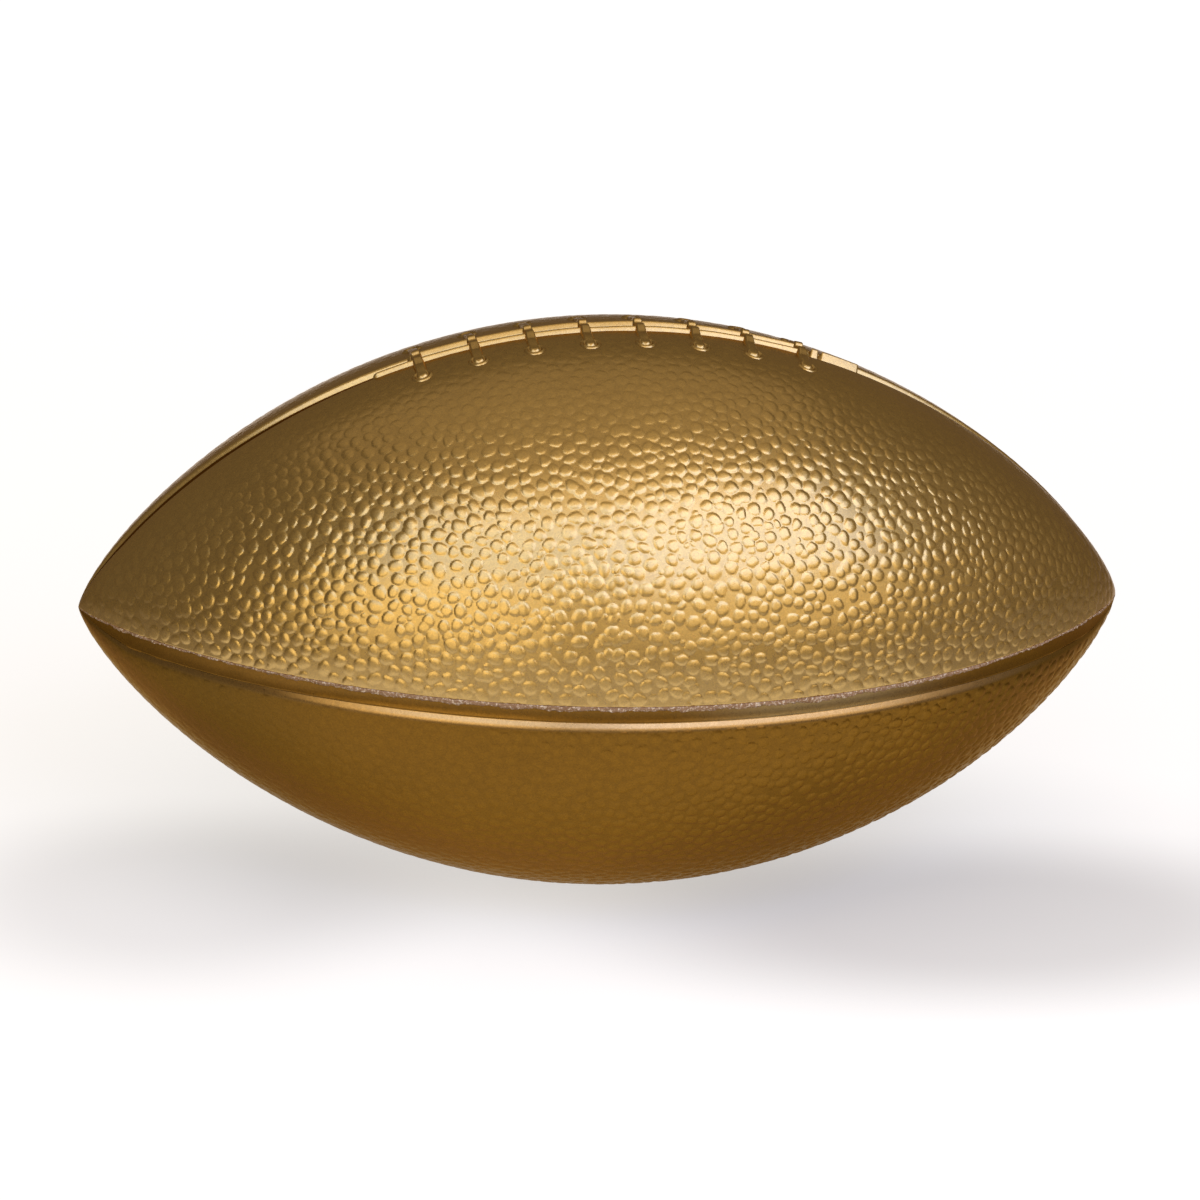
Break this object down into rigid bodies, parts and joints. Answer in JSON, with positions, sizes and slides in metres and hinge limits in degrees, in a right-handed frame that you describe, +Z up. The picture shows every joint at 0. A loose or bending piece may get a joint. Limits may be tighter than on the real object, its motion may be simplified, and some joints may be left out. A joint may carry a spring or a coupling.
{
  "type": "american football",
  "caption": "Pointed oval ball with a pebbled gold cover in panels, seam channels and raised lacing over a wound carcass and an air bladder with a needle valve.",
  "frame": {"origin": "centre of the ball, midway between the noses", "axes": "+X from nose to nose, +Z up through the lacing, +Y to the rear"},
  "size_m": [0.2406, 0.13, 0.1319],
  "materials": {
    "gold_cover": "moulded rubber with satin metallic gold paint",
    "deep_gold_cover": "moulded rubber with satin metallic deep gold paint",
    "seam_gold": "smooth moulded rubber with satin metallic gold paint",
    "lacing_gold": "smooth moulded rubber with satin metallic gold paint",
    "wound_nylon": "nylon thread wound in latex, matte",
    "butyl_rubber": "butyl rubber, satin",
    "valve_rubber": "moulded rubber, matte"
  },
  "bodies": {
    "root": {"upper_front_panel": "gold_cover", "upper_rear_panel": "gold_cover", "lower_front_panel": "deep_gold_cover", "lower_rear_panel": "deep_gold_cover", "top_seam_strip": "seam_gold", "front_seam_strip": "seam_gold", "bottom_seam_strip": "seam_gold", "rear_seam_strip": "seam_gold", "front_lace_rail": "lacing_gold", "rear_lace_rail": "lacing_gold", "lace_end_tab": "lacing_gold", "lace_bar_1": "lacing_gold", "lace_bar_2": "lacing_gold", "lace_bar_3": "lacing_gold", "lace_bar_4": "lacing_gold", "lace_bar_5": "lacing_gold", "lace_bar_6": "lacing_gold", "lace_bar_7": "lacing_gold", "lace_bar_8": "lacing_gold", "wound_carcass": "wound_nylon", "air_bladder": "butyl_rubber", "valve_housing": "valve_rubber", "valve_core": "butyl_rubber"}
  },
  "joints": []
}
